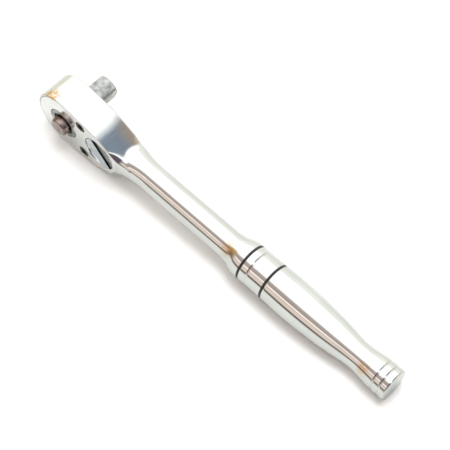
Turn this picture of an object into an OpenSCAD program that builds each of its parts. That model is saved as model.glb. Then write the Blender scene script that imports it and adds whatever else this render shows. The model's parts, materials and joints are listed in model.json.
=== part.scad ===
// Reversible ratchet wrench with a 3/8 inch square drive, a teardrop head and a quick-release button.
// X runs along the handle towards its end, +Y is the way the square drive points, and Z is up.
// The origin is the centre of the square drive, on the shoulder where a socket seats.
// The wrench lies on the edge of its head, with the drive axis level.

/* [Square drive] */
// Distance across the flats of the square drive
square_w = 9.525; // [9.4:0.005:9.6]
// Length of the square drive from its shoulder
square_l = 12.6; // [11:0.1:12.8]
// Turn of the square drive about its own axis, as it was left
square_turn = 15; // [0:1:44]
// Radius of the hub that shows in the cover plate
hub_r = 7.83; // [7.6:0.01:8]
// Number of teeth on the drive gear
teeth = 72; // [60:12:72]
// Radius over the gear's teeth
gear_tip_r = 11; // [10.8:0.1:11.2]
// Depth of a gear tooth
tooth_depth = 0.45; // [0.35:0.05:0.45]

/* [Head] */
// Radius of the round end of the head
head_r = 15.9; // [15.6:0.1:16.4]
// Thickness of the head between its two faces
head_t = 15.5; // [15.4:0.1:16.2]
// Distance from the drive axis to the selector's axis
selector_x = 22.75; // [22.5:0.05:23]
// Where the head's sides turn in towards the neck
cheek_x = 22; // [21:0.5:23]
// Slope of the head's long sides
side_angle = 8.3; // [7:0.1:9]
// Slope of the flats that run in to the neck
cheek_angle = 26.6; // [25:0.1:28]
// Radius of the hollow that runs from the head into the neck
scoop_r = 25.4; // [24:0.1:27]

/* [Cover] */
// Thickness of the cover plate
cover_t = 2.2; // [2:0.1:2.4]
// Width of the body's rim round the cover plate
cover_rim = 1; // [0.8:0.1:1.2]
// Cover screw's distance from the drive axis, along the handle
screw_x = 12.05; // [12:0.05:12.2]
// Cover screw's distance from the handle's centre line
screw_z = 10.1; // [10:0.05:10.3]

/* [Quick release] */
// Radius of the release button
button_r = 4.5; // [4.2:0.1:4.6]
// Height of the release button above the cover
button_h = 3.4; // [3.2:0.1:3.6]
// Travel of the release button
button_travel = 3; // [2.5:0.1:3]
// Radius of the ball that holds a socket
ball_r = 1.75; // [1.7:0.05:1.8]

/* [Selector] */
// Radius of the selector's disc
selector_r = 8.35; // [8.2:0.05:8.4]
// Turn of the selector from its middle to either of its two positions
selector_throw = 40; // [35:1:40]
// Turn of the pawl from its middle to either side
pawl_throw = 2.2; // [2:0.1:2.2]

/* [Handle] */
// Distance from the drive axis to the end of the handle
handle_end_x = 187; // [186:0.5:190]
// Radius of the neck
neck_r = 6.6; // [6.4:0.1:6.8]
// Radius of the handle's collar
collar_r = 8.8; // [8.7:0.05:9]
// Place of the band next to the neck
band_front_x = 107.5; // [107:0.1:108]
// Place of the band next to the grip
band_rear_x = 120.6; // [120:0.1:121]
// Width of each black band
band_w = 1.2; // [0.8:0.1:1.4]
// Depth of the groove that a band lies in
band_d = 0.5; // [0.4:0.1:0.6]

/* [Hidden] */
$fn = 96;

// Distances below are depths from the cover's outer face, along the drive axis
shoulder_proud = 0.4;
shoulder_r = 7.4;
over = 1; // how far a cut runs past the face that it opens
shoulder_z = head_t + shoulder_proud;
axis_z = 7.9;
run = 0.05;
seal_t = 0.2;
floor_z = cover_t + seal_t;

// Drive gear and its cavity
tooth_pitch = 360 / teeth;
gear_root_r = gear_tip_r - tooth_depth;
mesh_gap = 0.1;
gear_z0 = 3;
gear_z1 = 10.9;
cavity_gap = 0.6;
cavity_r = gear_tip_r + cavity_gap;
cavity_z = 11.4;
journal_r = 8.4;
oring_r = 0.5;
rear_seal_z = 1.5;
front_seal_z = 13.4;
well_r = 5.75;
well_z = 7.5;
clip_z = 0.7;
clip_t = 0.6;
clip_r = 6.2;
corner_r = 6.25;
square_bevel = 0.9;
square_tip_r = corner_r - square_bevel;

// Rod, ball and the cone that lifts the ball
rod_r = 2;
rod_bore_r = rod_r + run;
ball_z = shoulder_z + 5.6;
ball_centre_r = rod_r + ball_r;
ball_drop = 0.25;
rod_end_z = ball_z + 1.3;
rod_hole_z = rod_end_z + button_travel + 0.2;
cone_l = button_travel + 1;
flange_r = 5.3;
flange_z = 1.5;
flange_t = 1.2;
button_socket_z = -1.6;

// Pawl and selector
pawl_z0 = 3.5;
pawl_z1 = 10.8;
pocket_z = 11.1;
pocket_end_r = 6.8;
shaft_r = 3;
pawl_hub_r = 5;
selector_hole_r = selector_r + 0.25;
selector_flange_r = 9;
selector_flange_t = 0.6;
selector_seat_r = selector_flange_r + 0.3;
selector_seat_z = 3.3;
selector_floor_z = 1;
selector_seal_z = 1.95;
selector_top_z = -0.1;
ridge_x = 1.5;
thumb_r = 21.3;
shaft_end_z = 13.2;
pawl_ball_z = 7.2;
pawl_ball_r = 0.95;
pawl_ball_out = 2.75;

// Cover screws
screw_r = 1.5;
screw_head_r = 2.85;
screw_head_t = 1.35;
screw_hole_r = screw_r + 0.1;
screw_end_z = 9;
socket_r = 1.45;

// Head outline: each side is a line at distance d from the drive axis, with slope a
tail_w = 6.3;
tail_x = 45;
cover_tip_x = 33.3;
tangent_bite = 0.03;
cheek_z = (head_r - cheek_x * sin(side_angle)) / cos(side_angle);
cheek_d = cheek_x * sin(cheek_angle) + cheek_z * cos(cheek_angle);

function line_z(a, d, x) = (d - x * sin(a)) / cos(a);
function line_x(a, d, z) = (d - z * cos(a)) / sin(a);
function meet_x(a1, d1, a2, d2) = (d2 * cos(a1) - d1 * cos(a2)) / sin(a2 - a1);
function polar(r, a) = [r * cos(a), r * sin(a)];

// Point at share t of a curve with four control points
function curve_point(p, t) =
    pow(1 - t, 3) * p[0] + 3 * t * pow(1 - t, 2) * p[1] + 3 * t * t * (1 - t) * p[2] + t * t * t * p[3];
function curve(p, n) = [for (i = [1:n]) curve_point(p, i / n)];

// Outline of the hollow between the head and the neck, from the head's side down to the neck
function scoop_line(n) = [
    for (i = [0:n])
        let (x = cheek_x + 0.5 + (tail_x - cheek_x - 0.5) * i / n)
            [x, neck_r + scoop_r - sqrt(pow(scoop_r, 2) - pow(tail_x - x, 2))]
];

// Outline of the handle, from the neck to the end
knob_r = 7.45;
shoulder_curve = [[94, neck_r], [100, neck_r], [100.5, collar_r - 0.2], [105.5, collar_r]];
grip_curve = [[123, 9.05], [138, 9.65], [150, 8.55], [160, 7.05]];
waist_curve = [[160, 7.05], [165.5, 6.2], [170, 5.9], [176, 6.95]];
knob_curve = [[176, 6.95], [179.5, knob_r], [183, knob_r], [handle_end_x - 1, knob_r]];
handle_outline = concat(
    [[18, 0], [18, neck_r], [94, neck_r]],
    curve(shoulder_curve, 12),
    [[121.6, collar_r + 0.1]],
    [grip_curve[0]],
    curve(grip_curve, 12),
    curve(waist_curve, 10),
    curve(knob_curve, 6),
    [[handle_end_x - 0.3, knob_r - 0.35], [handle_end_x, knob_r - 1.05], [handle_end_x, 0]]
);
collar_groove_x = 111.6;
knob_groove_1_x = 180.2;
knob_groove_2_x = 183.6;
groove_w = 0.9;
groove_d = 0.3;

// Frame of the drive axis: local z is the depth below the cover's face, and local y is down
module drive_frame() {
    translate([0, -shoulder_z, 0])
        rotate([-90, 0, 0])
            children();
}

// Frame of the selector's axis
module selector_frame() {
    drive_frame()
        translate([selector_x, 0, 0])
            children();
}

// Frame of the handle's axis: local z runs along the handle
module handle_frame() {
    translate([0, axis_z - shoulder_z, 0])
        rotate([0, 90, 0])
            children();
}

// Solid turned about the handle's axis from a list of [x, radius] points
module turned(points) {
    handle_frame()
        rotate_extrude()
            polygon([for (p = points) [p[1], p[0]]]);
}

// Groove of a given width and depth round the handle
module handle_groove(x, r, width, depth) {
    handle_frame()
        translate([0, 0, x - width / 2])
            difference() {
                cylinder(r = r + 2, h = width);
                translate([0, 0, -over])
                    cylinder(r = r - depth, h = width + 2 * over);
            }
}

// Ring of round section
module oring(centre_r, section_r) {
    rotate_extrude()
        translate([centre_r, 0])
            circle(r = section_r, $fn = 24);
}

// Coil spring: a wire of square section with a flattened end at each side
module coil(centre_r, wire, length, turns) {
    steps = turns * 20;
    pitch = (length - wire) / turns;
    ring = [[-1, -1], [1, -1], [1, 1], [-1, 1]];
    points = [
        for (i = [0:steps])
            for (c = ring)
                let (a = i * 18, r = centre_r + c[0] * wire / 2)
                    [r * cos(a), r * sin(a), wire / 2 + pitch * i / 20 + c[1] * wire / 2]
    ];
    sides = [
        for (i = [0:steps - 1])
            for (k = [0:3])
                [i * 4 + k, i * 4 + (k + 1) % 4, (i + 1) * 4 + (k + 1) % 4, (i + 1) * 4 + k]
    ];
    ends = [[3, 2, 1, 0], [for (k = [0:3]) steps * 4 + k]];
    polyhedron(points, concat(sides, ends));
}

// Prism of the head's outline, drawn in by an even distance and cut off square at tip_x
module head_prism(inset, tip_x, depth) {
    r = head_r - inset;
    d = cheek_d - inset;
    corner_x = meet_x(side_angle, r, cheek_angle, d);
    tail_z = tail_w - inset;
    tail_start_x = line_x(cheek_angle, d, tail_z);
    side = [
        [r * sin(side_angle), r * cos(side_angle) - tangent_bite],
        [corner_x, line_z(side_angle, r, corner_x)]
    ];
    tail = tip_x > tail_start_x
        ? [[tail_start_x, tail_z], [tip_x, tail_z]]
        : [[tip_x, line_z(cheek_angle, d, tip_x)]];
    half = concat(side, tail);
    cylinder(r = r, h = depth);
    linear_extrude(depth)
        polygon(concat(half, [for (i = [len(half) - 1:-1:0]) [half[i][0], -half[i][1]]]));
}

// Outline of the gear, grown outward by an even distance
module gear_outline(grow) {
    tip = gear_tip_r + grow;
    root = gear_root_r + grow;
    flat = tooth_pitch * 0.07;
    points = [
        for (i = [0:teeth - 1])
            for (p = [[tip, -flat], [tip, flat], [root, tooth_pitch / 2 - flat], [root, tooth_pitch / 2 + flat]])
                polar(p[0], i * tooth_pitch + p[1])
    ];
    polygon(points);
}

// Hole that the pawl rocks in
module pawl_pocket(depth) {
    side = [[6, 9.75], [9, 9.75], [9.85, 9.3], [10.7, 8.1], [12.6, 7.4], [selector_x, 6.6]];
    linear_extrude(depth)
        polygon(concat(side, [for (i = [5:-1:0]) [side[i][0], -side[i][1]]]));
    translate([selector_x, 0, 0])
        cylinder(r = pocket_end_r, h = depth);
}

module ratchet_body() {
    color("gainsboro")
        difference() {
            union() {
                intersection() {
                    drive_frame()
                        head_prism(0, tail_x, head_t);
                    turned(concat([[-20, 0], [-20, 21], [cheek_x, 21]], scoop_line(12), [[tail_x, 0]]));
                }
                turned(handle_outline);
            }
            drive_frame() {
                translate([0, 0, -over])
                    head_prism(cover_rim, cover_tip_x, floor_z + over);
                cylinder(r = cavity_r, h = cavity_z);
                cylinder(r = journal_r + run, h = head_t + over);
                pawl_pocket(pocket_z);
                for (side = [-1, 1])
                    translate([screw_x, side * screw_z, 0])
                        cylinder(r = screw_r, h = screw_end_z + 0.5);
            }
            selector_frame() {
                cylinder(r = selector_seat_r, h = selector_seat_z);
                cylinder(r = shaft_r + run, h = shaft_end_z + 0.3);
            }
            handle_groove(band_front_x, collar_r, band_w, band_d);
            handle_groove(band_rear_x, collar_r, band_w, band_d);
            handle_groove(collar_groove_x, collar_r, groove_w, groove_d);
            handle_groove(knob_groove_1_x, knob_r, groove_w, groove_d);
            handle_groove(knob_groove_2_x, knob_r, groove_w, groove_d);
        }
}

module cover_plate() {
    color("silver")
        drive_frame()
            difference() {
                head_prism(cover_rim + run, cover_tip_x - run, cover_t);
                translate([0, 0, -over])
                    cylinder(r = hub_r + run, h = cover_t + 2 * over);
                translate([selector_x, 0, -over])
                    cylinder(r = selector_hole_r, h = cover_t + 2 * over);
                for (side = [-1, 1])
                    translate([screw_x, side * screw_z, 0]) {
                        translate([0, 0, -over])
                            cylinder(r = screw_hole_r, h = cover_t + 2 * over);
                        translate([0, 0, -0.01])
                            cylinder(r1 = screw_head_r + run, r2 = screw_hole_r, h = screw_head_t + run);
                    }
            }
}

// Thin gasket between the cover plate and the body's floor
module cover_seal() {
    color("dimgray")
        drive_frame()
            translate([0, 0, cover_t])
                difference() {
                    head_prism(cover_rim + run, cover_tip_x - run, seal_t);
                    translate([0, 0, -over]) {
                        cylinder(r = cavity_r, h = seal_t + 2 * over);
                        pawl_pocket(seal_t + 2 * over);
                        translate([selector_x, 0, 0])
                            cylinder(r = selector_seat_r, h = seal_t + 2 * over);
                        for (side = [-1, 1])
                            translate([screw_x, side * screw_z, 0])
                                cylinder(r = screw_hole_r, h = seal_t + 2 * over);
                    }
                }
}

// Countersunk screw with a hexagon socket
module cover_screw(side) {
    color("black")
        drive_frame()
            translate([screw_x, side * screw_z, 0])
                difference() {
                    union() {
                        cylinder(r1 = screw_head_r, r2 = screw_r, h = screw_head_t);
                        cylinder(r = screw_r - 0.02, h = screw_end_z);
                    }
                    translate([0, 0, -over])
                        cylinder(r = socket_r, h = 2.1, $fn = 6);
                }
}

module cover_screw_upper() {
    cover_screw(-1);
}

module cover_screw_lower() {
    cover_screw(1);
}

// Black ring laid in a groove of the handle
module grip_band(x) {
    color("black")
        handle_frame()
            translate([0, 0, x - band_w / 2])
                difference() {
                    cylinder(r = collar_r - 0.03, h = band_w);
                    translate([0, 0, -over])
                        cylinder(r = collar_r - band_d, h = band_w + 2 * over);
                }
}

module grip_band_front() {
    grip_band(band_front_x);
}

module grip_band_rear() {
    grip_band(band_rear_x);
}

// Square with rounded corners and a coned tip
module square_drive() {
    intersection() {
        translate([-square_w / 2, -square_w / 2, shoulder_z - 1])
            cube([square_w, square_w, square_l + 1]);
        rotate_extrude()
            polygon([
                [0, shoulder_z - 1],
                [corner_r, shoulder_z - 1],
                [corner_r, shoulder_z + square_l - square_bevel],
                [square_tip_r, shoulder_z + square_l],
                [0, shoulder_z + square_l]
            ]);
    }
}

module drive_gear() {
    color("darkgray")
        drive_frame()
            difference() {
                union() {
                    cylinder(r = hub_r, h = gear_z0 + 0.1);
                    translate([0, 0, gear_z0])
                        linear_extrude(gear_z1 - gear_z0)
                            gear_outline(0);
                    translate([0, 0, gear_z1 - 0.1])
                        cylinder(r = journal_r, h = head_t - gear_z1 + 0.1);
                    cylinder(r = shoulder_r, h = shoulder_z);
                    rotate([0, 0, square_turn])
                        square_drive();
                }
                translate([0, 0, -over])
                    cylinder(r = well_r, h = well_z + over);
                translate([0, 0, clip_z - 0.05])
                    cylinder(r = clip_r + 0.05, h = clip_t + 0.1);
                cylinder(r = rod_bore_r, h = rod_hole_z);
                for (z = [rear_seal_z, front_seal_z])
                    translate([0, 0, z - oring_r - 0.05])
                        difference() {
                            cylinder(r = journal_r + 1, h = 2 * oring_r + 0.1);
                            cylinder(r = (z == rear_seal_z ? hub_r : journal_r) - 2 * oring_r, h = 2 * oring_r + 0.1);
                        }
                rotate([0, 0, square_turn])
                    translate([0, 0, ball_z])
                        rotate([0, -90, 0])
                            cylinder(r = ball_r + run, h = 10);
            }
}

// Spring-steel washer between the gear and the cover plate
module thrust_washer() {
    outer_r = 10;
    thickness = 0.45;
    color("slategray")
        drive_frame()
            translate([0, 0, floor_z + run])
                difference() {
                    cylinder(r = outer_r, h = thickness);
                    translate([0, 0, -over])
                        cylinder(r = hub_r + run, h = thickness + 2 * over);
                }
}

module rear_hub_seal() {
    color("black")
        drive_frame()
            translate([0, 0, rear_seal_z])
                oring(hub_r - oring_r, oring_r);
}

module front_hub_seal() {
    color("black")
        drive_frame()
            translate([0, 0, front_seal_z])
                oring(journal_r - oring_r, oring_r);
}

// Split ring that keeps the button in its well
module button_retaining_ring() {
    color("black")
        drive_frame()
            translate([0, 0, clip_z])
                difference() {
                    cylinder(r = clip_r, h = clip_t);
                    translate([0, 0, -over])
                        cylinder(r = button_r + 0.2, h = clip_t + 2 * over);
                    translate([0, -1, -over])
                        cube([10, 2, clip_t + 2 * over]);
                }
}

// Button with a flange that stops it under the retaining ring, and a dished face
module release_button() {
    skirt_z = flange_z + flange_t;
    color("rosybrown")
        drive_frame()
            difference() {
                rotate_extrude()
                    polygon(concat(
                        [[0, -button_h + 0.5]],
                        [[1.5, -button_h + 0.35], [2.8, -button_h]],
                        [for (a = [80:-20:0]) [button_r - 0.9 + 0.9 * cos(a), -button_h + 0.9 - 0.9 * sin(a)]],
                        [
                            [button_r, flange_z],
                            [flange_r, flange_z],
                            [flange_r, skirt_z],
                            [0, skirt_z]
                        ]
                    ));
                translate([0, 0, button_socket_z])
                    cylinder(r = rod_r, h = 10);
            }
}

// Rod with a cone that lets the ball sink when the button is pressed
module release_rod() {
    cone_z1 = ball_z + 0.6;
    cone_z0 = cone_z1 - cone_l;
    color("silver")
        drive_frame()
            rotate_extrude()
                polygon([
                    [0, button_socket_z],
                    [rod_r, button_socket_z],
                    [rod_r, cone_z0 - 1],
                    [rod_r - cone_l * ball_drop, cone_z0],
                    [rod_r, cone_z1],
                    [rod_r, rod_end_z - 0.5],
                    [rod_r - 0.5, rod_end_z],
                    [0, rod_end_z]
                ]);
}

module button_spring() {
    color("gray")
        drive_frame()
            translate([0, 0, flange_z + flange_t])
                coil(3.4, 0.5, well_z - flange_z - flange_t, 3);
}

module detent_ball() {
    lift = 0.06;
    color("lightgray")
        drive_frame()
            rotate([0, 0, square_turn])
                translate([-ball_centre_r - lift, 0, ball_z])
                    sphere(r = ball_r);
}

// Disc with a raised thumb edge, on a shaft that the pawl rocks on
module selector_lever() {
    color("lightsteelblue")
        selector_frame()
            rotate([0, 0, -selector_throw])
                difference() {
                    union() {
                        difference() {
                            translate([0, 0, selector_top_z])
                                cylinder(r = selector_r, h = floor_z - selector_top_z + 0.1);
                            translate([ridge_x, -10, selector_top_z - 1])
                                cube([20, 20, selector_floor_z - selector_top_z + 1]);
                            translate([-9, 10, -20])
                                rotate([90, 0, 0])
                                    cylinder(r = thumb_r, h = 20);
                        }
                        translate([0, 0, floor_z + run])
                            cylinder(r = selector_flange_r, h = selector_flange_t);
                        translate([0, 0, selector_floor_z])
                            cylinder(r = shaft_r, h = shaft_end_z - selector_floor_z);
                    }
                    translate([0, 0, selector_seal_z - 0.4])
                        difference() {
                            cylinder(r = selector_r + 1, h = 0.8);
                            cylinder(r = selector_r - 0.8, h = 0.8);
                        }
                    translate([-1.5, 0, pawl_ball_z])
                        rotate([0, 90, 0])
                            cylinder(r = pawl_ball_r + run, h = 10);
                }
}

module selector_seal() {
    color("black")
        selector_frame()
            translate([0, 0, selector_seal_z])
                oring(selector_r - 0.4, 0.4);
}

module pawl_spring() {
    color("gray")
        selector_frame()
            rotate([0, 0, -selector_throw])
                translate([-1.5, 0, pawl_ball_z])
                    rotate([0, 90, 0])
                        coil(0.7, 0.3, 3.2, 4);
}

module pawl_ball() {
    color("lightgray")
        selector_frame()
            rotate([0, 0, -selector_throw])
                translate([pawl_ball_out, 0, pawl_ball_z])
                    sphere(r = pawl_ball_r);
}

// One side of the pawl, in the gear: its outline is given from the drive axis
module pawl_half() {
    outline = [
        [selector_x, -1.5], [12.2, -1.5], [12, 4], [8.9, 5.15], [7.2, 7.2],
        [8.3, 8.3], [8.9, 8.2], [9.9, 7], [12, 6.2], [selector_x - 2, 4.2]
    ];
    rotate([0, 0, -pawl_throw])
        translate([-selector_x, 0])
            difference() {
                polygon(outline);
                gear_outline(mesh_gap);
            }
}

// Pawl with teeth at both ends, set so that one end is in the gear
module pawl() {
    color("dimgray")
        selector_frame()
            rotate([0, 0, -pawl_throw])
                translate([0, 0, pawl_z0])
                    difference() {
                        union() {
                            for (side = [0, 1])
                                mirror([0, side, 0])
                                    linear_extrude(pawl_z1 - pawl_z0)
                                        pawl_half();
                            cylinder(r = pawl_hub_r, h = pawl_z1 - pawl_z0);
                        }
                        translate([0, 0, -over])
                            cylinder(r = shaft_r + run, h = 20);
                        translate([0, 0, pawl_ball_z - pawl_z0 - 1.1])
                            difference() {
                                cylinder(r = shaft_r + 0.9, h = 2.2);
                                translate([-40 + 1, -20, -1])
                                    cube([40, 40, 5]);
                            }
                    }
}

ratchet_body();
cover_plate();
cover_seal();
cover_screw_upper();
cover_screw_lower();
grip_band_front();
grip_band_rear();
drive_gear();
thrust_washer();
rear_hub_seal();
front_hub_seal();
button_retaining_ring();
release_button();
release_rod();
button_spring();
detent_ball();
selector_lever();
selector_seal();
pawl_spring();
pawl_ball();
pawl();
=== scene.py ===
import json
import math

import bmesh
import bpy
import numpy as np
from mathutils import Matrix, Vector


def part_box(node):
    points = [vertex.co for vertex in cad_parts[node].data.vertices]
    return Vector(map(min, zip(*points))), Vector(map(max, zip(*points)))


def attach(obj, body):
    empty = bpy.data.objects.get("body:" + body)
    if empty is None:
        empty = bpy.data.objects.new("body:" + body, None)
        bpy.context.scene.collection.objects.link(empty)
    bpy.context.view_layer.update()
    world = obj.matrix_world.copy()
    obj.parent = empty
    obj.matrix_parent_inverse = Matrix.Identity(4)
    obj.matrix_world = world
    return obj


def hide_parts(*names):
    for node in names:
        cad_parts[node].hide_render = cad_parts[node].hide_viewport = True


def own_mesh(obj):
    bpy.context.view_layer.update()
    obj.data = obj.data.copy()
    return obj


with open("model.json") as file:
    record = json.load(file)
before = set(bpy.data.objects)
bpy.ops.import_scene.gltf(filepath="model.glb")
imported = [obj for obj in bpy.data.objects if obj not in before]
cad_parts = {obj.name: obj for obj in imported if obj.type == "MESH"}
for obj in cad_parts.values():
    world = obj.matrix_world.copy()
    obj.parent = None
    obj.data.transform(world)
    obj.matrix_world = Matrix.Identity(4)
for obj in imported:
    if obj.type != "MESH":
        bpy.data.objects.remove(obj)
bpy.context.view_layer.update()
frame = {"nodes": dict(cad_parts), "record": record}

# Shapes are worked out in millimetres and stored in metres.
MM = 0.001


def cad_box(node):
    """Lowest and highest corner of a CAD node, in millimetres."""
    return [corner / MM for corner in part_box(node)]


BODY_LOW, BODY_HIGH = cad_box("ratchet_body")
COVER_LOW, COVER_HIGH = cad_box("cover_plate")
SELECTOR_LOW, SELECTOR_HIGH = cad_box("selector_seal")
BUTTON_LOW = cad_box("release_button")[0]
SCREW_LOW, SCREW_HIGH = cad_box("cover_screw_upper")
GEAR_HIGH = cad_box("drive_gear")[1]

FACE_Y = COVER_LOW.y                     # the cover's outer face
AXIS_Y = (BODY_LOW.y + BODY_HIGH.y) / 2  # the handle's axis
END_X = BODY_HIGH.x
SELECTOR_X = (SELECTOR_LOW.x + SELECTOR_HIGH.x) / 2
SELECTOR_TURN = math.radians(40)
SELECTOR_PLACE = Matrix.Translation((SELECTOR_X * MM, 0, 0)) @ Matrix.Rotation(-SELECTOR_TURN, 4, "Y")
STEP_X = 1.5                             # the step across the selector, from its axis
STEP_D = 1.0                             # depth of the lowered half
SPRING_HOLE_X = 1.5                      # the closed end of its cross hole, past its axis
SPRING_HOLE_D = 7.2                      # depth of the cross hole
SCREW_X = (SCREW_LOW.x + SCREW_HIGH.x) / 2
SCREW_Z = (SCREW_LOW.z + SCREW_HIGH.z) / 2

# Head: a round end, sides that draw in, and flat cheeks towards the neck
HEAD_R = 15.9
HEAD_T = 15.5
SIDE_A = math.radians(8.3)
CHEEK_A = math.radians(26.6)
CHEEK_X = 22.0       # where a cheek meets its side
CHEEK_BLEND = 1.6    # softness of that meeting
CHEEK_CROWN_R = 60.0
CHEEK_D = CHEEK_X * math.sin(CHEEK_A) + math.cos(CHEEK_A) * (
    (HEAD_R - CHEEK_X * math.sin(SIDE_A)) / math.cos(SIDE_A)
)
SCOOP_R = 36.0       # the flare from the head's faces to the neck
SCOOP_END_X = 48.0
SCOOP_FADE = 14.0    # length over which the blends die away before that end
SCOOP_BLEND = 0.9
NECK_BLEND = 0.9
FILLET_R = 10.9      # the flare from the cheeks to the neck
FILLET_END_X = 37.6
DRIVE_EDGE_R = 1.0   # edge round the drive's face
COVER_EDGE_R = 0.3   # edge round the cover's face, and how much rounder it gets at the neck
COVER_EDGE_GROWTH = 2.2

# Cover and the recess that it lies in
COVER_TIP_X = COVER_HIGH.x
COVER_TIP_GAP = 0.05
COVER_RIM = 1.0
COVER_GAP = 0.13
COVER_EDGE = 0.12
TIP_CUT_X = 2.6
TIP_CUT_Z = 2.8
COVER_T = 2.2
RECESS_T = 2.4

# Inside of the head
HUB_BORE_R = 8.45
SELECTOR_HOLE_R = 8.6
PAWL_DEPTH = 11.1    # depth of the gear's and pawl's space from the cover's face
WELL_R = 5.75        # the button's well in the hub
WELL_END = 7.5
SQUARE_HALF = 4.7625
SQUARE_TURN = math.radians(15)
SQUARE_CORNER_R = 6.25
BALL_R = 1.75

# Handle
NECK_R = 6.6
COLLAR_X = 105.6
COLLAR_R = 8.8
KNOB_X = 185.0
KNOB_R = 7.45
BAND_W = cad_box("grip_band_front")[1].x - cad_box("grip_band_front")[0].x
BAND_D = 0.5
BAND_X = [sum(corner.x for corner in cad_box(n)) / 2 for n in ("grip_band_front", "grip_band_rear")]
BAND_EDGE = 0.04
GROOVE_X = (111.6, 180.2, 183.6)
GROOVE_W = 1.15
GROOVE_D = 0.3
SEGMENTS = 256       # points round the body
EVEN_X = 34.0        # where they start to go over to even angles


# ---------------------------------------------------------------- mesh helpers


def mesh_object(name, verts, faces):
    """Object from points in millimetres."""
    mesh = bpy.data.meshes.new(name)
    mesh.from_pydata([tuple(v) for v in np.asarray(verts) * MM], [], faces)
    mesh.validate()
    obj = bpy.data.objects.new(name, mesh)
    bpy.context.scene.collection.objects.link(obj)
    return obj


def loft(name, rings):
    """Closed skin over rings of equally many points. A ring of one point is a pole; other ends are capped."""
    verts, starts = [], []
    for ring in rings:
        starts.append(len(verts))
        verts.extend(ring)
    faces = []
    for a, b, ring_a, ring_b in zip(starts, starts[1:], rings, rings[1:]):
        n = max(len(ring_a), len(ring_b))
        for i in range(n):
            j = (i + 1) % n
            if len(ring_a) == 1:
                faces.append((a, b + j, b + i))
            elif len(ring_b) == 1:
                faces.append((a + i, a + j, b))
            else:
                faces.append((a + i, a + j, b + j, b + i))
    if len(rings[0]) > 1:
        faces.append(tuple(reversed(range(len(rings[0])))))
    if len(rings[-1]) > 1:
        faces.append(tuple(starts[-1] + i for i in range(len(rings[-1]))))
    obj = mesh_object(name, verts, faces)
    face_out(obj)
    return obj


def face_out(obj):
    """Turns all faces of a closed mesh outward."""
    bm = bmesh.new()
    bm.from_mesh(obj.data)
    bmesh.ops.recalc_face_normals(bm, faces=bm.faces)
    if bm.calc_volume(signed=True) < 0:
        bmesh.ops.reverse_faces(bm, faces=bm.faces)
    bm.to_mesh(obj.data)
    bm.free()


def circle(x, z, r, y, segments):
    """Ring about the drive's direction."""
    return [
        (x + r * math.cos(2 * math.pi * i / segments), y, z + r * math.sin(2 * math.pi * i / segments))
        for i in range(segments)
    ]


def turned(name, profile, x=0.0, z=0.0, segments=96):
    """Solid turned about an axis along Y from (y, radius) pairs, where radius 0 is a pole."""
    rings = [circle(x, z, r, y, segments) if r > 0 else [(x, y, z)] for y, r in profile]
    return loft(name, rings)


def from_face(profile):
    """(y, radius) pairs with y counted from the cover's outer face inwards."""
    return [(FACE_Y + y, r) for y, r in profile]


def turned_ring(name, profile, segments=96):
    """Closed ring turned about an axis along Y from a loop of (y, radius) pairs."""
    verts, faces = [], []
    n = len(profile)
    for y, r in profile:
        verts.extend(circle(0, 0, r, y, segments))
    for k in range(n):
        a, b = k * segments, (k + 1) % n * segments
        for i in range(segments):
            j = (i + 1) % segments
            faces.append((a + i, a + j, b + j, b + i))
    obj = mesh_object(name, verts, faces)
    face_out(obj)
    return obj


def prism(name, outline, y0, y1):
    """Prism along Y over an outline of (x, z) pairs."""
    return loft(name, [[(x, y0, z) for x, z in outline], [(x, y1, z) for x, z in outline]])


def cut(obj, cutters, operation="DIFFERENCE"):
    """Takes the cutters away from obj, or joins or meets them with it."""
    for cutter in cutters:
        modifier = obj.modifiers.new("cut", "BOOLEAN")
        modifier.operation = operation
        modifier.solver = "MANIFOLD"
        modifier.object = cutter
    apply_modifiers(obj)
    for cutter in cutters:
        bpy.data.objects.remove(cutter)
    return obj


def apply_modifiers(obj):
    depsgraph = bpy.context.evaluated_depsgraph_get()
    mesh = bpy.data.meshes.new_from_object(obj.evaluated_get(depsgraph))
    obj.modifiers.clear()
    old = obj.data
    obj.data = mesh
    bpy.data.meshes.remove(old)


def smooth(obj, angle=32):
    """Smooth shading, with the edges sharper than angle left crisp."""
    obj.data.shade_smooth()
    obj.data.set_sharp_from_angle(angle=math.radians(angle))
    modifier = obj.modifiers.new("normals", "WEIGHTED_NORMAL")
    modifier.keep_sharp = True
    modifier.weight = 60
    apply_modifiers(obj)
    return obj


def soften(obj, width, segments=2, angle=30):
    """Small rounding on every edge sharper than angle."""
    bm = bmesh.new()
    bm.from_mesh(obj.data)
    bmesh.ops.remove_doubles(bm, verts=bm.verts, dist=0.002 * MM)
    bmesh.ops.dissolve_limit(
        bm, angle_limit=math.radians(0.5), verts=bm.verts, edges=bm.edges, delimit={"NORMAL"}
    )
    bm.to_mesh(obj.data)
    bm.free()
    modifier = obj.modifiers.new("soften", "BEVEL")
    modifier.width = width * MM
    modifier.segments = segments
    modifier.limit_method = "ANGLE"
    modifier.angle_limit = math.radians(angle)
    modifier.use_clamp_overlap = True
    modifier.harden_normals = False
    apply_modifiers(obj)
    return smooth(obj)


def arc(cx, cy, r, start, stop, steps):
    """Points of an arc, with its angles in degrees."""
    angles = [math.radians(start + (stop - start) * i / steps) for i in range(steps + 1)]
    return [(cx + r * math.cos(a), cy + r * math.sin(a)) for a in angles]


# ---------------------------------------------------------------- head outline


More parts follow.
